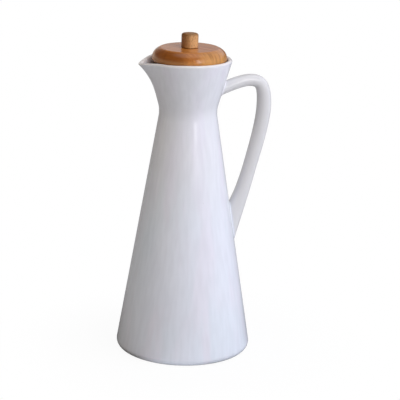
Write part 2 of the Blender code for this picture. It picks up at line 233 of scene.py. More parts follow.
class Nodes:
    """Adds nodes to one tree."""

    def __init__(self, tree):
        self.tree = tree

    def add(self, kind, settings=None, values=None, output=0):
        """A node by its type, its settings, and the values or links of its sockets."""
        node = self.tree.nodes.new(kind)
        for name, setting in (settings or {}).items():
            if name == "stops":
                self.set_stops(node.color_ramp, setting)
            else:
                setattr(node, name, setting)
        for name, value in (values or {}).items():
            socket = named_socket(node.inputs, name)
            if isinstance(value, Number):
                self.tree.links.new(value.socket, socket)
            else:
                socket.default_value = value
        return Number(self, named_socket(node.outputs, output)) if node.outputs else node

    def set_stops(self, ramp, stops):
        while len(ramp.elements) < len(stops):
            ramp.elements.new(1.0)
        for element, (position, colour) in zip(ramp.elements, stops):
            element.position = position
            element.color = (*colour, 1.0)

    def math(self, operation, first, second=0.0):
        return self.add("ShaderNodeMath", {"operation": operation}, {0: first, 1: second})

    def vector(self, operation, first, second):
        return self.add("ShaderNodeVectorMath", {"operation": operation}, {0: first, 1: second})

    def reach(self, vector, axis):
        """How far a vector reaches along an axis."""
        return self.add("ShaderNodeVectorMath", {"operation": 'DOT_PRODUCT'},
                        {0: vector, 1: axis}, "Value")

    def length(self, vector):
        return self.add("ShaderNodeVectorMath", {"operation": 'LENGTH'}, {0: vector}, "Value")

    def join(self, x, y, z):
        return self.add("ShaderNodeCombineXYZ", None, {"X": x, "Y": y, "Z": z})

    def split(self, vector):
        return self.add("ShaderNodeSeparateXYZ", None, {"Vector": vector})

    def step(self, value, low, high):
        """Rises smoothly from 0 at low to 1 at high."""
        return self.add("ShaderNodeMapRange", {"interpolation_type": 'SMOOTHSTEP'},
                        {"Value": value, "From Min": low, "From Max": high})

    def patch(self, value, rise, fall):
        """1 between two soft edges, each given by its start and its end."""
        return self.step(value, *rise) * (1 - self.step(value, *fall))

    def blend(self, share, first, second):
        """From the first colour at 0 to the second at 1."""
        first, second = [colour if isinstance(colour, Number) else (*colour, 1.0)
                         for colour in (first, second)]
        return self.add("ShaderNodeMix", {"data_type": 'RGBA'},
                        {"Factor": share, "A": first, "B": second}, "Result")

    def scaled(self, vector, factor):
        """A colour or a vector times a number."""
        return self.vector('MULTIPLY', self.join(factor, factor, factor), vector)

    def noise(self, place, scale, detail=2.0, roughness=0.5):
        return self.add("ShaderNodeTexNoise", None,
                        {"Vector": place, "Scale": scale, "Detail": detail, "Roughness": roughness})

    def bump(self, height, distance, below=None):
        """Normals for a height from 0 to 1 that stands for a distance in metres."""
        values = {"Height": height, "Distance": distance}
        if below:
            values["Normal"] = below
        return self.add("ShaderNodeBump", None, values)


# Outlines and walls

def rounded_corner(before, corner, after, radius):
    """Arc of a radius that replaces a corner between two straight runs."""
    towards_before = (before - corner).normalized()
    towards_after = (after - corner).normalized()
    half_angle = acos(towards_before.dot(towards_after)) / 2
    centre = corner + (towards_before + towards_after).normalized() * radius / sin(half_angle)
    start = corner + towards_before * radius / tan(half_angle) - centre
    turn = pi - 2 * half_angle
    if start.cross(towards_before) > 0:
        turn = -turn
    steps = max(2, ceil(abs(turn) / ARC_STEP), ceil(abs(turn) * radius / ARC_RUN))
    return [centre + Matrix.Rotation(turn * i / steps, 2) @ start for i in range(steps + 1)]


def quarter_curve(start, end):
    """Quarter of an ellipse, upright at its start and level at its end."""
    steps = ceil(pi / 2 / ARC_STEP)
    turns = [pi / 2 * i / steps for i in range(steps + 1)]
    return [Vector((start[0] + (end[0] - start[0]) * (1 - cos(turn)),
                    start[1] + (end[1] - start[1]) * sin(turn))) for turn in turns]


def outline(*corners):
    """Fine points through (radius, height) corners; a third number rounds its corner."""
    points = []
    for i, corner in enumerate(corners):
        here = Vector(corner[:2])
        if len(corner) == 2:
            points.append(here)
            continue
        before = Vector(corners[i - 1][:2])
        after = Vector(corners[(i + 1) % len(corners)][:2])
        points += rounded_corner(before, here, after, corner[2])
    fine = points[:1]
    for start, end in zip(points, points[1:]):
        runs = max(1, ceil((end - start).length / RUN_STEP))
        fine += [start.lerp(end, i / runs) for i in range(1, runs + 1)]
    return fine


def vessel_outline():
    """Inner floor, up the inner wall, over the lip, down the outside and under the foot."""
    edge_half_angle = acos((BASE_RADIUS - WAIST_RADIUS)
                           / hypot(BASE_RADIUS - WAIST_RADIUS, WAIST_HEIGHT)) / 2
    ring_outer = BASE_RADIUS - BASE_EDGE_RADIUS / tan(edge_half_angle)
    ring_inner = ring_outer - FOOT_RING_WIDTH
    inner_floor = FOOT_RECESS + FLOOR_THICKNESS
    mouth = RIM_RADIUS - LIP_THICKNESS
    return outline(
        (0.0, inner_floor),
        (cone_radius(inner_floor) - WALL, inner_floor, FLOOR_ROUNDING),
        (WAIST_RADIUS - WALL, WAIST_HEIGHT, WAIST_ROUNDING + WALL),
        (mouth, RIM_HEIGHT, LIP_ROUNDING),
        (RIM_RADIUS, RIM_HEIGHT, LIP_ROUNDING),
        (WAIST_RADIUS, WAIST_HEIGHT, WAIST_ROUNDING),
        (BASE_RADIUS - SKIN, 0.0, BASE_EDGE_RADIUS),
        (ring_inner, 0.0, FOOT_RING_EDGE),
        (ring_inner - FOOT_RING_BEVEL, FOOT_RECESS, FOOT_RING_EDGE),
        (0.0, FOOT_RECESS),
    )


def cone_radius(height):
    return BASE_RADIUS - (BASE_RADIUS - WAIST_RADIUS) / WAIST_HEIGHT * height


def collar_radius(height):
    slope = (RIM_RADIUS - WAIST_RADIUS) / (RIM_HEIGHT - WAIST_HEIGHT)
    return RIM_RADIUS - slope * (RIM_HEIGHT - height)


OUTER_WALL = outline(
    (RIM_RADIUS, RIM_HEIGHT),
    (WAIST_RADIUS, WAIST_HEIGHT, WAIST_ROUNDING),
    (BASE_RADIUS, 0.0),
)


def wall_radius(height):
    """Outer radius of the vessel away from the spout, at a height."""
    for above, below in zip(OUTER_WALL, OUTER_WALL[1:]):
        if below.y <= height:
            return above.lerp(below, (above.y - height) / (above.y - below.y)).x
    return BASE_RADIUS


def outside_wall(point):
    """How far a point, seen from the vessel's axis, lies outside the wall."""
    return hypot(point.x, point.y) - wall_radius(point.z)


def wall_normal(point):
    """Direction straight out of the wall at a point."""
    probe = 0.0005
    slope = (wall_radius(point.z + probe) - wall_radius(point.z - probe)) / (2 * probe)
    level = Vector((point.x, point.y, 0.0)).normalized()
    return Vector((level.x, level.y, -slope)).normalized()


def on_wall(point, depth):
    """The point's place on the wall at the same height, sunk by a depth."""
    level = Vector((point.x, point.y, 0.0)).normalized() * (wall_radius(point.z) - depth)
    return Vector((level.x, level.y, point.z))


# Turned pieces

def turning_tree():
    """Turns an outline round an upright axis, cuts flutes and pulls out a spout."""
    tree = bpy.data.node_groups.new("turning", 'GeometryNodeTree')
    numbers = {"Axis X": 0.0, "Flutes": 0.0, "Flute Share": 0.0, "Spout Stretch": 0.0,
               "Spout Dip": 0.0, "Spout Start": 0.0, "Spout Top": 1.0, "Spout Curve": 1.0,
               "Spout Half Angle": 0.5, "Spout Nose Angle": 0.1,
               "Rim Sag": 0.0, "Sag Starts": -1.0, "Sag Is Full": 0.0, "Sag Fades": 0.5,
               "Sag Ends": 1.0}
    tree.interface.new_socket("Outline", in_out='INPUT', socket_type='NodeSocketGeometry')
    tree.interface.new_socket("Steps", in_out='INPUT', socket_type='NodeSocketInt')
    for name, default in numbers.items():
        socket = tree.interface.new_socket(name, in_out='INPUT', socket_type='NodeSocketFloat')
        socket.default_value = default
    tree.interface.new_socket("Finish", in_out='INPUT', socket_type='NodeSocketMaterial')
    tree.interface.new_socket("Turned", in_out='OUTPUT', socket_type='NodeSocketGeometry')

    nodes = Nodes(tree)
    given = nodes.add("NodeGroupInput")
    points = nodes.add("GeometryNodeAttributeDomainSize", None, {"Geometry": given.of("Outline")},
                       "Point Count")
    grid = nodes.add("GeometryNodeMeshGrid", None,
                     {"Vertices X": given.of("Steps") + 1, "Vertices Y": points})
    index = nodes.add("GeometryNodeInputIndex")
    column = nodes.math('FLOOR', index / points)
    spot = nodes.add("GeometryNodeSampleIndex", {"data_type": 'FLOAT_VECTOR'},
                     {"Geometry": given.of("Outline"), "Value": nodes.add("GeometryNodeInputPosition"),
                      "Index": index % points}, "Value")
    spot = nodes.split(spot)
    height = spot.of("Z")
    around = column / given.of("Steps") * (-2 * pi)

    past_tip = around + pi
    nose = given.of("Spout Nose Angle")
    half = given.of("Spout Half Angle")
    from_tip = nodes.math('SQRT', past_tip * past_tip + nose * nose)
    side = 1 / nodes.math('COSINE', nodes.math('MAXIMUM', half - from_tip, 0.0)) - 1
    side_at_tip = 1 / nodes.math('COSINE', half - nose) - 1
    rise = (height - given.of("Spout Start")) / (given.of("Spout Top") - given.of("Spout Start"))
    share = nodes.math('MAXIMUM', rise, 0.0) ** given.of("Spout Curve")
    pull = share * side / side_at_tip
    sag = share * nodes.patch(past_tip, (given.of("Sag Starts"), given.of("Sag Is Full")),
                              (given.of("Sag Fades"), given.of("Sag Ends")))
    flute = (nodes.math('COSINE', around * given.of("Flutes")) + 1) * given.of("Flute Share") / 2
    radius = spot.of("X") * (pull * given.of("Spout Stretch") + 1) * (1 - flute)

    place = nodes.join(radius * nodes.math('COSINE', around) + given.of("Axis X"),
                       radius * nodes.math('SINE', around),
                       height - pull * given.of("Spout Dip") - sag * given.of("Rim Sag"))
    shell = nodes.add("GeometryNodeSetPosition", None, {"Geometry": grid, "Position": place})
    shell = nodes.add("GeometryNodeStoreNamedAttribute", {"data_type": 'FLOAT', "domain": 'POINT'},
                      {"Geometry": shell, "Name": "turned_height", "Value": height})
    shell = nodes.add("GeometryNodeMergeByDistance", None, {"Geometry": shell, "Distance": WELD})
    shell = nodes.add("GeometryNodeRealizeInstances", None, {"Geometry": shell})
    shell = nodes.add("GeometryNodeSetMaterial", None,
                      {"Geometry": shell, "Material": given.of("Finish")})
    nodes.add("NodeGroupOutput", None, {"Turned": shell})
    return tree


def turned(name, points, steps, finish, tree, **spout_or_flutes):
    """A piece turned from an outline that runs down its outer side."""
    mesh = bpy.data.meshes.new(name + "_outline")
    mesh.from_pydata([(point.x, 0.0, point.y) for point in points],
                     [(i, i + 1) for i in range(len(points) - 1)], [])
    piece = bpy.data.objects.new(name, mesh)
    bpy.context.collection.objects.link(piece)
    modifier = piece.modifiers.new("turning", 'NODES')
    modifier.node_group = tree
    inputs = {"Steps": steps, "Axis X": AXIS_X, "Finish": finish, **spout_or_flutes}
    for socket in tree.interface.items_tree:
        if socket.name in inputs:
            modifier[socket.identifier] = inputs[socket.name]
    plain = bpy.data.meshes.new_from_object(piece.evaluated_get(bpy.context.evaluated_depsgraph_get()))
    piece.modifiers.remove(modifier)
    piece.data = plain
    plain.name = name
    plain.shade_smooth()
    plain.set_sharp_from_angle(angle=SHARP)
    return piece


def closed(points):
    return points + points[:1]


def make_vessel(finish, tree):
    return turned("glazed_vessel", vessel_outline(), VESSEL_STEPS, finish, tree, **{
        "Spout Stretch": (SPOUT_REACH - SKIN) / RIM_RADIUS - 1,
        "Spout Dip": SPOUT_DIP,
        "Spout Start": SPOUT_START,
        "Spout Top": RIM_HEIGHT,
        "Spout Curve": SPOUT_CURVE,
        "Spout Half Angle": SPOUT_HALF_ANGLE,
        "Spout Nose Angle": SPOUT_NOSE_ANGLE,
        "Rim Sag": RIM_SAG,
        "Sag Starts": RIM_SAG_BEGINS[0],
        "Sag Is Full": RIM_SAG_BEGINS[1],
        "Sag Fades": RIM_SAG_FADES[0],
        "Sag Ends": RIM_SAG_FADES[1],
    })


def make_disc(finish, tree):
    """Flat top, long rounded shoulder, hole for the dowel."""
    top, underside = DISC_HIGH.z, DISC_LOW.z
    edge = Vector((LID_TOP_RADIUS, top))
    widest = Vector((LID_RADIUS, top - LID_SHOULDER))
    fall = Vector((cos(LID_SHOULDER_FALL), -sin(LID_SHOULDER_FALL))) * LID_SHOULDER_REACH
    drop = Vector((0.0, -LID_SHOULDER_REACH))
    shoulder = [bend(edge, fall, widest, drop, i / BEND_STEPS) for i in range(3, BEND_STEPS + 1)]
    points = outline((DOWEL_HOLE_RADIUS, top), (*edge, LID_EDGE), *shoulder)
    points += quarter_curve(widest, (LID_UNDERSIDE_RADIUS, underside))[1:]
    points += outline((LID_UNDERSIDE_RADIUS, underside), (DOWEL_HOLE_RADIUS, underside),
                      (DOWEL_HOLE_RADIUS, top))[1:-1]
    return turned("bamboo_disc", closed(points), LID_STEPS, finish, tree)


def make_knob(finish, tree):
    points = outline(
        (0.0, KNOB_HIGH.z),
        (KNOB_RADIUS, KNOB_HIGH.z, KNOB_EDGE),
        (KNOB_RADIUS, KNOB_LOW.z, TOOLED_EDGE),
        (DOWEL_HOLE_RADIUS, KNOB_LOW.z),
        (DOWEL_HOLE_RADIUS, DOWEL_HIGH.z + GAP),
        (0.0, DOWEL_HIGH.z + GAP),
    )
    return turned("bamboo_knob", points, SMALL_STEPS, finish, tree)


def make_dowel(finish, tree):
    """Fluted pin with chamfered ends, as glued joints have."""
    points = outline(
        (0.0, DOWEL_HIGH.z),
        (DOWEL_RADIUS - DOWEL_CHAMFER, DOWEL_HIGH.z),
        (DOWEL_RADIUS, DOWEL_HIGH.z - DOWEL_CHAMFER),
        (DOWEL_RADIUS, DOWEL_LOW.z + DOWEL_CHAMFER),
        (DOWEL_RADIUS - DOWEL_CHAMFER, DOWEL_LOW.z),
        (0.0, DOWEL_LOW.z),
    )
    return turned("fluted_dowel", points, SMALL_STEPS, finish, tree, **{
        "Flutes": float(DOWEL_FLUTES), "Flute Share": DOWEL_FLUTE_SHARE})


def make_plug(finish, tree):
    """Straight plug with a groove for the ring and a blind hole for the dowel."""
    groove = PLUG_RADIUS - SEAL_GROOVE_DEPTH
    points = outline(
        (0.0, DOWEL_LOW.z - GAP),
        (DOWEL_HOLE_RADIUS, DOWEL_LOW.z - GAP),
        (DOWEL_HOLE_RADIUS, PLUG_HIGH.z),
        (PLUG_RADIUS, PLUG_HIGH.z, TOOLED_EDGE),
        (PLUG_RADIUS, SEAL_HIGH.z + GAP, TOOLED_EDGE),
        (groove, SEAL_HIGH.z + GAP),
        (groove, SEAL_LOW.z - GAP),
        (PLUG_RADIUS, SEAL_LOW.z - GAP, TOOLED_EDGE),
        (PLUG_RADIUS, PLUG_LOW.z + PLUG_CHAMFER),
        (PLUG_RADIUS - PLUG_CHAMFER, PLUG_LOW.z),
        (0.0, PLUG_LOW.z),
    )
    return turned("bamboo_plug", points, LID_STEPS, finish, tree)


def make_seal(finish, tree):
    """Band in the plug's groove with two lips."""
    inner = PLUG_RADIUS - SEAL_GROOVE_DEPTH + GAP
    band = PLUG_RADIUS + GAP
    corners = [(inner, SEAL_LOW.z), (inner, SEAL_HIGH.z)]
    for lip_top, tip in ((SEAL_HIGH.z, SEAL_RADIUS),
                         (SEAL_HIGH.z - SEAL_LIP_SPACING, SEAL_LOWER_LIP_RADIUS)):
        corners += [
            (band, lip_top),
            (tip, lip_top, SEAL_LIP_EDGE / 2.5),
            (tip, lip_top - SEAL_LIP_EDGE, SEAL_LIP_EDGE / 2.5),
            (band, lip_top - SEAL_LIP_ROOT),
        ]
    corners += [(band, SEAL_LOW.z)]
    return turned("silicone_ring", closed(outline(*corners)), LID_STEPS, finish, tree)


# Handle

def bend(start, start_reach, end, end_reach, share):
    """Point of the curve that leaves start along its reach and arrives at end along its own."""
    rest = 1 - share
    return (start * rest ** 3 + (start + start_reach) * 3 * rest ** 2 * share
            + (end - end_reach) * 3 * rest * share ** 2 + end * share ** 3)


def handle_line():
    """Centres and shares of the section along the handle, from inside the collar to inside the cone."""
    upper_root_z = RIM_HEIGHT - HANDLE_UPPER_ROOT_DROP
    crown_z = RIM_HEIGHT - HANDLE_CROWN_DROP - HANDLE_THICKNESS * HANDLE_ARM_SHARE / 2
    stations = (
        ((collar_radius(upper_root_z) - HANDLE_UPPER_ROOT_DEPTH, upper_root_z),
         (1.0, HANDLE_UPPER_ROOT_SLOPE), HANDLE_ARM_EASE, HANDLE_ARM_EASE, HANDLE_UPPER_ROOT_SHARE),
        ((HANDLE_CROWN_X, crown_z),
         (1.0, 0.0), HANDLE_ARM_EASE, HANDLE_SHOULDER_ALONG, HANDLE_ARM_SHARE),
        ((HANDLE_REACH - HANDLE_THICKNESS / 2, RIM_HEIGHT - HANDLE_SIDE_DROP),
         (0.0, -1.0), HANDLE_SHOULDER_DOWN, HANDLE_LIMB_EASE, 1.0),
        ((cone_radius(HANDLE_LIMB_HEIGHT) + HANDLE_LIMB_STANDOFF, HANDLE_LIMB_HEIGHT),
         (-HANDLE_LIMB_SLOPE, -1.0), HANDLE_LIMB_EASE, HANDLE_LIMB_EASE, HANDLE_LIMB_SHARE),
        ((cone_radius(HANDLE_LOWER_ROOT_HEIGHT) - HANDLE_LOWER_ROOT_DEPTH, HANDLE_LOWER_ROOT_HEIGHT),
         (-HANDLE_LOWER_ROOT_SLOPE, -1.0), HANDLE_LIMB_EASE, HANDLE_LIMB_EASE, HANDLE_LOWER_ROOT_SHARE),
    )
    centres, shares = [], []
    for first, second in zip(stations, stations[1:]):
        start, end = Vector(first[0]), Vector(second[0])
        leave = Vector(first[1]).normalized() * first[3]
        arrive = Vector(second[1]).normalized() * second[2]
        for i in range(BEND_STEPS):
            share = i / BEND_STEPS
            centres.append(bend(start, leave, end, arrive, share))
            shares.append(first[4] + (second[4] - first[4]) * share)
    centres.append(Vector(stations[-1][0]))
    shares.append(stations[-1][4])
    return centres, shares


def even_stations(centres, shares, count):
    """The same line with evenly spaced centres, and shares that change without a kink."""
    lengths = [0.0]
    for start, end in zip(centres, centres[1:]):
        lengths.append(lengths[-1] + (end - start).length)
    even_centres, even_shares = [], []
    at = 0
    for i in range(count + 1):
        wanted = lengths[-1] * i / count
        while at < len(centres) - 2 and lengths[at + 1] < wanted:
            at += 1
        share = (wanted - lengths[at]) / (lengths[at + 1] - lengths[at])
        even_centres.append(centres[at].lerp(centres[at + 1], share))
        even_shares.append(shares[at] + (shares[at + 1] - shares[at]) * share)
    for _ in range(SHARE_SMOOTHING):
        even_shares[1:-1] = [(a + b + c) / 3
                             for a, b, c in zip(even_shares, even_shares[1:], even_shares[2:])]
    return even_centres, even_shares


def section_point(side):
    """Shares of half the width and half the thickness at a side of the soft oval."""
    quarter, step = divmod(side, HANDLE_SIDES // 4)
    share = step / (HANDLE_SIDES // 4)
    rest = 1 - share
    near = rest ** 3 + 3 * rest ** 2 * share + 3 * rest * share ** 2 * HANDLE_ROUNDNESS
    far = share ** 3 + 3 * rest * share ** 2 + 3 * rest ** 2 * share * HANDLE_ROUNDNESS
    return ((near, far), (-far, near), (-near, -far), (far, -near))[quarter]


def along(strand, at):
    """Point of a strand at a fractional place in its list."""
    low = min(int(at), len(strand) - 2)
    return strand[low].lerp(strand[low + 1], at - low)


def crossing(strand):
    """Fractional place where a strand comes out of the wall."""
    for i in range(len(strand) - 1):
        here, there = outside_wall(strand[i]), outside_wall(strand[i + 1])
        if here <= 0 < there:
            return i - here / (there - here)
    raise ValueError("the handle's root doesn't reach the wall")


def past(strand, at, length):
    """Fractional place that lies a length further along a strand."""
    travelled = 0.0
    step = 0.05
    point = along(strand, at)
    while travelled < length:
        at += step
        following = along(strand, at)
        travelled += (following - point).length
        point = following
    return at


def root_fillets(strands, centre_strand, fillet):
    """For each strand: the points from inside the wall up to its own course, and where that begins."""
    in_crotch, at_flanks, outside = fillet
    crossings = [crossing(strand) for strand in strands]
    feet = [along(strand, at) for strand, at in zip(strands, crossings)]
    centre = along(centre_strand, crossing(centre_strand))
    roots = []
    for i, (strand, at, foot) in enumerate(zip(strands, crossings, feet)):
        rim_direction = feet[(i + 1) % len(feet)] - feet[i - 1]
        away = rim_direction.cross(wall_normal(foot)).normalized()
        if away.dot(foot - centre) < 0:
            away = -away
        thick = section_point(i)[1]
        size = at_flanks + ((in_crotch if thick < 0 else outside) - at_flanks) * thick ** 2
        start = on_wall(foot + away * size, ROOT_SINK)
        inward = foot - start
        inward = (inward - wall_normal(start) * inward.dot(wall_normal(start))).normalized()
        end_at = past(strand, at, size)
        end = along(strand, end_at)
        heading = (along(strand, end_at + 0.1) - end).normalized()
        turn = inward.angle(heading)
        reach = size / tan(turn / 2) * 4 / 3 * tan(turn / 4)
        points = [on_wall(start, ROOT_DEPTH)]
        points += [bend(start, inward * reach, end, heading * reach, j / FILLET_STEPS)
                   for j in range(FILLET_STEPS)]
        roots.append((points, end_at))
    return roots, on_wall(centre, 2 * ROOT_DEPTH)


def make_handle(finish):
    """Soft oval strap swept along its line, whose ends flow into the wall."""
    centres, shares = even_stations(*handle_line(), HANDLE_RINGS)
    strands = [[] for _ in range(HANDLE_SIDES)]
    for i, (centre, share) in enumerate(zip(centres, shares)):
        heading = (centres[min(i + 1, HANDLE_RINGS)] - centres[max(i - 1, 0)]).normalized()
        across = Vector((-heading.y, heading.x))
        for side, strand in enumerate(strands):
            wide, thick = section_point(side)
            if thick < 0 and centre.y < CROTCH_FLARE_TOP:
                thick *= 1 + CROTCH_FLARE * ((CROTCH_FLARE_TOP - centre.y)
                                             / (CROTCH_FLARE_TOP - CROTCH_FLARE_BOTTOM)) ** 2
            spot = centre + across * thick * share * HANDLE_THICKNESS / 2
            strand.append(Vector((spot.x, wide * share * HANDLE_WIDTH / 2, spot.y)))
    centre_strand = [Vector((centre.x, 0.0, centre.y)) for centre in centres]
    upper_roots, upper_centre = root_fillets(strands, centre_strand, UPPER_FILLET)
    lower_roots, lower_centre = root_fillets([strand[::-1] for strand in strands],
                                             centre_strand[::-1], LOWER_FILLET)
    shape = bmesh.new()
    columns = []
    for strand, (upper, upper_at), (lower, lower_at) in zip(strands, upper_roots, lower_roots):
        last = HANDLE_RINGS - lower_at
        course = [along(strand, upper_at + (last - upper_at) * i / HANDLE_RINGS)
                  for i in range(HANDLE_RINGS + 1)]
        columns.append([shape.verts.new(point + Vector((AXIS_X, 0.0, 0.0)))
                        for point in upper + course + lower[::-1]])
    for column, following in zip(columns, columns[1:] + columns[:1]):
        for a, b, c, d in zip(column, column[1:], following[1:], following):
            shape.faces.new((a, b, c, d))
    for centre, end in ((upper_centre, 0), (lower_centre, -1)):
        hub = shape.verts.new(centre + Vector((AXIS_X, 0.0, 0.0)))
        for column, following in zip(columns, columns[1:] + columns[:1]):
            shape.faces.new((column[end], following[end], hub))
    bmesh.ops.recalc_face_normals(shape, faces=shape.faces)
    mesh = bpy.data.meshes.new("glazed_handle")
    shape.to_mesh(mesh)
    shape.free()
    mesh.materials.append(finish)
    mesh.shade_smooth()
    mesh.set_sharp_from_angle(angle=SHARP)
    handle = bpy.data.objects.new("glazed_handle", mesh)
    bpy.context.collection.objects.link(handle)
    return handle


# Finishes

def new_finish(name):
    """A material, its nodes, and the place on the piece."""
    material = bpy.data.materials.new(name)
    material.use_nodes = True
    material.node_tree.nodes.clear()
    nodes = Nodes(material.node_tree)
    place = nodes.add("ShaderNodeTexCoord", None, None, "Object")
    centred = nodes.add("ShaderNodeMapping", None, {"Vector": place, "Location": (-AXIS_X, 0.0, 0.0)})
    return material, nodes, centred


def surface(nodes, values):
    shader = nodes.add("ShaderNodeBsdfPrincipled", None, values)
    nodes.add("ShaderNodeOutputMaterial", None, {"Surface": shader})


GLAZE_WHITE = (0.78, 0.79, 0.85)
GLAZE_COOL = (0.765, 0.80, 0.86)
GLAZE_MAUVE = (0.80, 0.77, 0.835)
GLAZE_ABOVE = (0.812, 0.778, 0.785)
GLAZE_THIN = (0.82, 0.75, 0.69)
GLAZE_ON_HANDLE = (0.715, 0.70, 0.69)
GLAZE_POOLED_AND_SHADED = (0.72, 0.76, 0.78)
BARE_CLAY = (0.62, 0.55, 0.46)
BARE_CLAY_DARK = (0.42, 0.35, 0.28)
SPECK = (0.42, 0.35, 0.28)


def white_glaze():
    """Glossy white glaze with faint runs, thin on the lip, greyer and darker on the handle, darker
    above the foot where glaze pools and where painted shade falls, and bare clay on the foot ring.
    """
    material, nodes, place = new_finish("white_glaze")
    spot = nodes.split(place)
    height = spot.of("Z")
    turned_height = nodes.add("ShaderNodeAttribute", {"attribute_name": "turned_height"}, None, "Fac")
    runs = nodes.noise(nodes.vector('MULTIPLY', place, (1.0, 1.0, 0.12)), 75.0, 3.0)
    cloud = nodes.noise(place, 16.0, 1.0)
    glaze = nodes.blend(nodes.step(cloud, 0.35, 0.65), GLAZE_WHITE, GLAZE_COOL)
    glaze = nodes.blend(nodes.step(height, 0.08, 0.17) * 0.5, glaze, GLAZE_ABOVE)
    glaze = nodes.blend(nodes.step(runs, 0.45, 0.72) * 0.7, glaze, GLAZE_MAUVE)
    streaks = nodes.noise(nodes.vector('MULTIPLY', place, (1.0, 1.0, 0.04)), 330.0, 1.0)
    glaze = nodes.scaled(glaze, 0.975 + 0.05 * nodes.step(streaks, 0.25, 0.75))
    from_axis = nodes.length(nodes.join(spot.of("X"), spot.of("Y"), 0.0))
    off_wall = from_axis - nodes.math('MAXIMUM', cone_radius(height), collar_radius(height))
    # The handle's glaze is greyer and darker than the body's.
    handle = nodes.step(off_wall, 0.0003, 0.0022) * nodes.step(spot.of("X"), 0.0, 0.01)
    glaze = nodes.blend(handle * 0.9, glaze, GLAZE_ON_HANDLE)
    lip = nodes.step(turned_height, RIM_HEIGHT - 0.0016, RIM_HEIGHT - 0.0004)
    glaze = nodes.blend(lip * 0.7, glaze, GLAZE_THIN)
    speck = nodes.add("ShaderNodeTexVoronoi", None, {"Vector": place, "Scale": 190.0})
    chosen = nodes.step(nodes.split(speck.of("Color")).of("X"), 0.90, 0.93)
    speck = (1 - nodes.step(speck.of("Distance"), 0.03, 0.06)) * chosen
    glaze = nodes.blend(speck * 0.35, glaze, SPECK)

    wobble = nodes.noise(place, 160.0) * 0.0006
    foot = height + wobble
    # A darker band just above the bare foot: glaze pools there, and painted shade marks where the foot
    # meets the table.
    pooled_and_shaded = nodes.patch(foot, (0.0010, 0.0013), (0.0016, 0.0030))
    glaze = nodes.blend(pooled_and_shaded * 0.5, glaze, GLAZE_POOLED_AND_SHADED)
    bare = 1 - nodes.step(foot, 0.0008, 0.0011)
    grain = nodes.noise(place, 2200.0, 3.0)
    clay = nodes.blend(nodes.step(grain, 0.3, 0.7), BARE_CLAY_DARK, BARE_CLAY)
    colour = nodes.blend(bare, glaze, clay)
    roughness = bare * 0.75 + (1 - bare) * (0.015 + 0.03 * nodes.noise(place, 60.0))

    drape = nodes.noise(nodes.vector('MULTIPLY', place, (1.0, 1.0, 0.35)), 45.0, 1.0)
    peel = nodes.noise(place, 700.0, 1.0)
    normal = nodes.bump(drape, 0.00006)
    normal = nodes.bump(peel, 0.000002, normal)
    normal = nodes.bump(grain * bare, 0.00006, normal)
    surface(nodes, {"Base Color": colour, "Roughness": roughness, "IOR": 1.5, "Normal": normal})
    return material


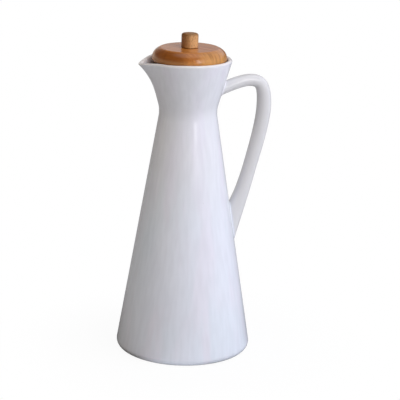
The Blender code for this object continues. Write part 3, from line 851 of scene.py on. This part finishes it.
def bamboo(name, pale, dark, golden, fibre_turn, strip_width, gloss, fibre_stretch=30.0, shoulder=None,
           top=None):
    """Strips of bamboo glued side by side, with long dark fibres and thin glue lines.

    The fibres run along X until fibre_turn turns them; where they end at a round edge the wood is
    golden. Below a shoulder height the edge has painted shade, then painted light lower down. Above a
    top height the wood is dark, as upright fibres are where they end; there the left side has painted
    shade."""
    material, nodes, place = new_finish(name)
    grain_place = nodes.add("ShaderNodeMapping", None, {"Vector": place, "Rotation": fibre_turn})
    spot = nodes.split(grain_place)
    strip_at = spot.of("Y") / strip_width + 0.37
    strip = nodes.math('FLOOR', strip_at)
    own = nodes.add("ShaderNodeTexWhiteNoise", {"noise_dimensions": '1D'}, {"W": strip})
    slim = nodes.join(spot.of("X") / fibre_stretch + strip, spot.of("Y"), spot.of("Z"))
    fibres = nodes.add("ShaderNodeTexVoronoi", None, {"Vector": slim, "Scale": 1500.0}, "Distance")
    fibres = 1 - nodes.step(fibres, 0.15, 0.55)
    streaks = nodes.step(nodes.noise(slim, 420.0, 3.0), 0.38, 0.66)
    drift = nodes.noise(nodes.vector('MULTIPLY', grain_place, (0.3, 1.0, 1.0)), 70.0)
    colour = nodes.blend(0.20 * own + 0.30 * streaks + 0.22 * fibres + 0.30 * drift, pale, dark)

    across = spot.of("Y") * spot.of("Y")
    outwards = spot.of("X") * spot.of("X") + across
    near_edge = nodes.step(outwards, 0.00045, 0.00066)
    side_grain = nodes.step(across / outwards, 0.55, 0.85) * near_edge
    colour = nodes.blend(side_grain * 0.8, colour, [channel * 0.8 for channel in dark])
    end_grain = (1 - nodes.step(across / outwards, 0.08, 0.45)) * near_edge
    lines = nodes.noise(nodes.vector('MULTIPLY', grain_place, (0.1, 1.0, 0.15)), 620.0, 2.0)
    depth = 0.08 if top else 0.28
    ends = nodes.blend(nodes.step(lines, 0.38, 0.62),
                       [channel * (1 + depth * 0.4) for channel in golden],
                       [channel * (1 - depth) for channel in golden])
    colour = nodes.blend(end_grain * 0.8, colour, ends)

    edge = nodes.math('ABSOLUTE', nodes.math('FRACT', strip_at) - 0.5)
    glue = nodes.step(edge, 0.5 - 0.00018 / strip_width, 0.5 - 0.00005 / strip_width)
    knuckle_at = spot.of("X") + (own - 0.5) * 0.15 + spot.of("Y") * 0.05
    knuckle = 1 - nodes.step(nodes.math('ABSOLUTE', knuckle_at), 0.0004, 0.0012)
    colour = nodes.blend(glue * 0.25 + knuckle * 0.3, colour, [channel * 0.5 for channel in dark])
    if shoulder:
        height = nodes.split(place).of("Z")
        # Painted shade on the shoulder just below its top edge.
        painted_shade_under_edge = nodes.patch(height, (shoulder - 0.0065, shoulder - 0.0030),
                                 (shoulder - 0.0010, shoulder - 0.0003))
        colour = nodes.blend(painted_shade_under_edge * 0.25, colour, [channel * 0.8 for channel in dark])
        # Painted light: the lower shoulder is lighter and more golden.
        low = 1 - nodes.step(height, shoulder - 0.0085, shoulder - 0.0050)
        colour = nodes.blend(low * 0.4, colour, golden)
    if top:
        gloss = gloss * (1 - 0.85 * nodes.step(nodes.split(place).of("Z"), top - 0.0012, top - 0.0002))
        dashes = nodes.vector('MULTIPLY', grain_place, (0.25, 1.0, 1.0))
        dashes = nodes.step(nodes.noise(dashes, 2400.0, 1.0), 0.52, 0.66)
        # Painted shade: the knob's left side is darker.
        painted_shade_left = 1 - nodes.step(spot.of("Y"), -0.0065, 0.0005)
        colour = nodes.blend(painted_shade_left * 0.85, colour, dark)
        capped = nodes.step(nodes.split(place).of("Z"), top - 0.0022, top - 0.0004)
        colour = nodes.blend(capped * (0.6 + 0.2 * dashes) + (1 - capped) * dashes * 0.5, colour,
                             [channel * 0.6 for channel in dark])
    normal = nodes.bump(1 - fibres * 0.5 - glue * 0.5, 0.00001)
    surface(nodes, {"Base Color": colour, "Roughness": 0.5 + 0.15 * streaks, "IOR": 1.5,
                    "Specular IOR Level": 0.1, "Coat Weight": gloss, "Coat Roughness": 0.16,
                    "Normal": normal})
    return material


def dowel_wood():
    """Plain turned beech with short dark flecks."""
    material, nodes, place = new_finish("dowel_wood")
    slim = nodes.vector('MULTIPLY', place, (1.0, 1.0, 0.08))
    flecks = nodes.step(nodes.noise(slim, 1800.0, 2.0), 0.60, 0.72)
    rings = nodes.noise(slim, 350.0)
    colour = nodes.blend(rings, (0.70, 0.52, 0.33), (0.56, 0.38, 0.21))
    colour = nodes.blend(flecks * 0.6, colour, (0.33, 0.19, 0.09))
    surface(nodes, {"Base Color": colour, "Roughness": 0.55 + 0.15 * rings,
                    "Normal": nodes.bump(flecks, 0.00002)})
    return material


def clear_silicone():
    """Milky soft silicone with a faint bloom."""
    material, nodes, place = new_finish("clear_silicone")
    bloom = nodes.noise(place, 240.0, 3.0)
    colour = nodes.blend(bloom, (0.74, 0.74, 0.71), (0.83, 0.83, 0.80))
    surface(nodes, {"Base Color": colour, "Roughness": 0.30 + 0.2 * bloom, "Subsurface Weight": 0.4,
                    "Subsurface Radius": (0.002, 0.002, 0.002),
                    "Normal": nodes.bump(bloom, 0.00001)})
    return material


# Studio

def studio_direction(azimuth, elevation):
    """Direction from the bottle, with the azimuth counted to the right of the camera."""
    turn = CAMERA_AZIMUTH + azimuth
    return Vector((sin(turn) * cos(elevation), -cos(turn) * cos(elevation), sin(elevation)))


def place_camera():
    axis = Vector((AXIS_X, 0.0, 0.0))
    stand = axis + CAMERA_NEAR * CAMERA_DISTANCE + Vector((0.0, 0.0, CAMERA_HEIGHT))
    aim = axis + CAMERA_RIGHT * AIM_RIGHT + Vector((0.0, 0.0, AIM_HEIGHT))
    data = bpy.data.cameras.new("camera")
    data.lens = LENS
    data.sensor_width = SENSOR
    data.sensor_fit = 'HORIZONTAL'
    camera = bpy.data.objects.new("camera", data)
    turn = (aim - stand).to_track_quat('-Z', 'Y').to_matrix() @ Matrix.Rotation(CAMERA_ROLL, 3, 'Z')
    camera.matrix_world = Matrix.Translation(stand) @ turn.to_4x4()
    bpy.context.collection.objects.link(camera)
    bpy.context.scene.camera = camera


def soft_light(name, azimuth, elevation, distance, width, height, power, colour):
    """Rectangular lamp that faces the middle of the bottle."""
    middle = Vector((AXIS_X, 0.0, RIM_HEIGHT / 2))
    data = bpy.data.lights.new(name, 'AREA')
    data.shape = 'RECTANGLE'
    data.size = width
    data.size_y = height
    data.energy = power
    data.color = colour
    lamp = bpy.data.objects.new(name, data)
    lamp.visible_glossy = False
    direction = studio_direction(azimuth, elevation)
    lamp.matrix_world = (Matrix.Translation(middle + direction * distance)
                         @ direction.to_track_quat('Z', 'Y').to_matrix().to_4x4())
    bpy.context.collection.objects.link(lamp)


def light_studio():
    """White to the camera; around the bottle a pale room with a bright ceiling and two windows.

    Its walls are darker on the upper left."""
    scene = bpy.context.scene
    scene.world = bpy.data.worlds.new("studio")
    scene.world.use_nodes = True
    scene.world.node_tree.nodes.clear()
    nodes = Nodes(scene.world.node_tree)
    direction = nodes.add("ShaderNodeTexCoord", None, None, "Generated")
    side = nodes.reach(direction, CAMERA_RIGHT)
    nearness = nodes.reach(direction, CAMERA_NEAR)
    height = nodes.split(direction).of("Z")
    azimuth = nodes.math('ARCTAN2', side, nearness)
    elevation = nodes.math('ARCSINE', height)
    path = nodes.add("ShaderNodeLightPath")
    room = nodes.blend(nodes.step(side, -0.7, 0.8), (0.625, 0.585, 0.50), (0.59, 0.60, 0.69))
    upper_left = nodes.step(elevation, radians(12), radians(50)) * (1 - nodes.step(side, -0.4, 0.5))
    far_side = 1 - nodes.step(nearness, -0.7, 0.1)
    behind = far_side * (1 - nodes.step(elevation, radians(7), radians(13)))
    mirrored_left = (path.of("Is Glossy Ray") * (1 - nodes.step(side, -0.6, 0.3))
                     * nodes.step(elevation, radians(3), radians(14)))
    back_wall = far_side * nodes.patch(elevation, (radians(8), radians(14)), (radians(24), radians(34)))
    room = nodes.vector('ADD', room, nodes.scaled((0.20, 0.19, 0.24), back_wall))
    room = nodes.scaled(room, (1 - upper_left * 0.75) * (1 - mirrored_left * 0.8)
                        * (1 - behind * (1.1 * nodes.step(side, -0.3, 0.3) - 0.25)))
    folds = nodes.noise(nodes.join(azimuth, 0.0, 0.0), 9.0, 3.0)
    room = nodes.scaled(room, 0.7 + 0.465 * nodes.step(folds, 0.3, 0.7))
    panes = (nodes.patch(azimuth, (radians(22), radians(24)), (radians(37), radians(38)))
             + 0.3 * nodes.patch(azimuth, (radians(40), radians(41)), (radians(46), radians(52))))
    window = panes * nodes.patch(elevation, (radians(2.2), radians(5.6)), (radians(37), radians(42)))
    room = nodes.vector('ADD', room, nodes.scaled((4.1, 4.1, 4.1), window))
    ceiling = nodes.step(elevation, radians(55), radians(75))
    room = nodes.vector('ADD', room, nodes.scaled((1.0, 1.0, 1.0), ceiling))
    colour = nodes.blend(path.of("Is Camera Ray"), room, (1.0, 1.0, 1.0))
    background = nodes.add("ShaderNodeBackground", None, {"Color": colour})
    nodes.add("ShaderNodeOutputWorld", None, {"Surface": background})
    soft_light("large_softbox", radians(68.5), radians(28), 1.5, 1.2, 1.3, 11.6, (0.853, 0.902, 1.028))


def make_floor():
    """Pale table that keeps the bottle's shadow and fades into the white background.

    For light that bounces off it, it has painted shade and light: dimmer beside the bottle, painted
    light close to the foot in front and behind, and a painted shadow close to the foot on the left."""
    shape = bmesh.new()
    bmesh.ops.create_grid(shape, x_segments=8, y_segments=8, size=2.5)
    mesh = bpy.data.meshes.new("table")
    shape.to_mesh(mesh)
    shape.free()
    table = bpy.data.objects.new("table", mesh)
    bpy.context.collection.objects.link(table)
    material = bpy.data.materials.new("table_white")
    material.use_nodes = True
    material.node_tree.nodes.clear()
    nodes = Nodes(material.node_tree)
    place = nodes.add("ShaderNodeTexCoord", None, None, "Object")
    from_middle = nodes.length(place)
    far = nodes.step(from_middle, 0.06, 0.16)
    # Painted shade for bounced and reflected light: the table is dimmer near the bottle.
    open_table = nodes.step(from_middle, 0.05, 0.24)
    from_axis = nodes.vector('SUBTRACT', place, (AXIS_X, 0.0, 0.0))
    across = nodes.reach(from_axis, CAMERA_RIGHT)
    from_foot = nodes.length(from_axis) - BASE_RADIUS
    # Painted light close to the foot, in front and behind.
    bright = ((1 - nodes.step(from_foot, 0.002, 0.031))
              * nodes.step(across, -0.038, -0.021) * (1 - 0.9 * nodes.step(across, 0.0, 0.034)))
    # Painted shadow close to the foot on the left.
    dark = (1 - nodes.step(from_foot, 0.0, 0.012)) * (1 - nodes.step(across, -0.042, -0.030))
    path = nodes.add("ShaderNodeLightPath")
    seen = path.of("Is Camera Ray")
    tone = nodes.blend(path.of("Is Glossy Ray"),
                       nodes.blend(open_table, (0.30, 0.30, 0.30), (0.50, 0.50, 0.50)),
                       nodes.blend(open_table, (0.16, 0.16, 0.16), (0.38, 0.38, 0.38)))
    tone = nodes.blend(bright, tone, (0.70, 0.72, 0.76))
    tone = nodes.blend(dark, tone, (0.03, 0.03, 0.03))
    tone = nodes.blend(seen, tone, (0.95, 0.95, 0.95))
    paper = nodes.add("ShaderNodeBsdfDiffuse", None, {"Color": tone})
    white = nodes.add("ShaderNodeEmission", None, {"Color": (1.0, 1.0, 1.0, 1.0)})
    mixed = nodes.add("ShaderNodeMixShader", None, {0: seen * (0.94 + 0.06 * far), 1: paper, 2: white})
    nodes.add("ShaderNodeOutputMaterial", None, {"Surface": mixed})
    mesh.materials.append(material)


def finish_piece(piece, body, node):
    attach(piece, body)
    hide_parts(node)


def main():
    tree = turning_tree()
    glaze = white_glaze()
    lid_turn = (0.0, 0.0, radians(55))
    disc = bamboo("lacquered_bamboo", (0.63, 0.225, 0.032), (0.305, 0.08, 0.009), (0.59, 0.29, 0.082),
                  lid_turn, 0.0046, 1.0, shoulder=DISC_HIGH.z)
    knob = bamboo("knob_bamboo", (0.62, 0.31, 0.108), (0.23, 0.077, 0.013), (0.75, 0.42, 0.18),
                  (radians(90), 0.0, radians(90)), 0.02, 0.6, 8.0, top=KNOB_HIGH.z)
    plug = bamboo("plug_bamboo", (0.40, 0.19, 0.06), (0.17, 0.065, 0.018), (0.38, 0.20, 0.08),
                  lid_turn, 0.0046, 0.1)
    finish_piece(make_vessel(glaze, tree), "vessel", "vessel_body")
    finish_piece(make_handle(glaze), "vessel", "handle")
    finish_piece(make_disc(disc, tree), "lid", "lid_disc")
    finish_piece(make_knob(knob, tree), "lid", "knob")
    finish_piece(make_plug(plug, tree), "lid", "lid_plug")
    finish_piece(make_dowel(dowel_wood(), tree), "lid", "lid_dowel")
    finish_piece(make_seal(clear_silicone(), tree), "seal", "seal_ring")
    make_floor()
    place_camera()
    light_studio()
    bpy.context.scene.view_settings.view_transform = 'Standard'


main()
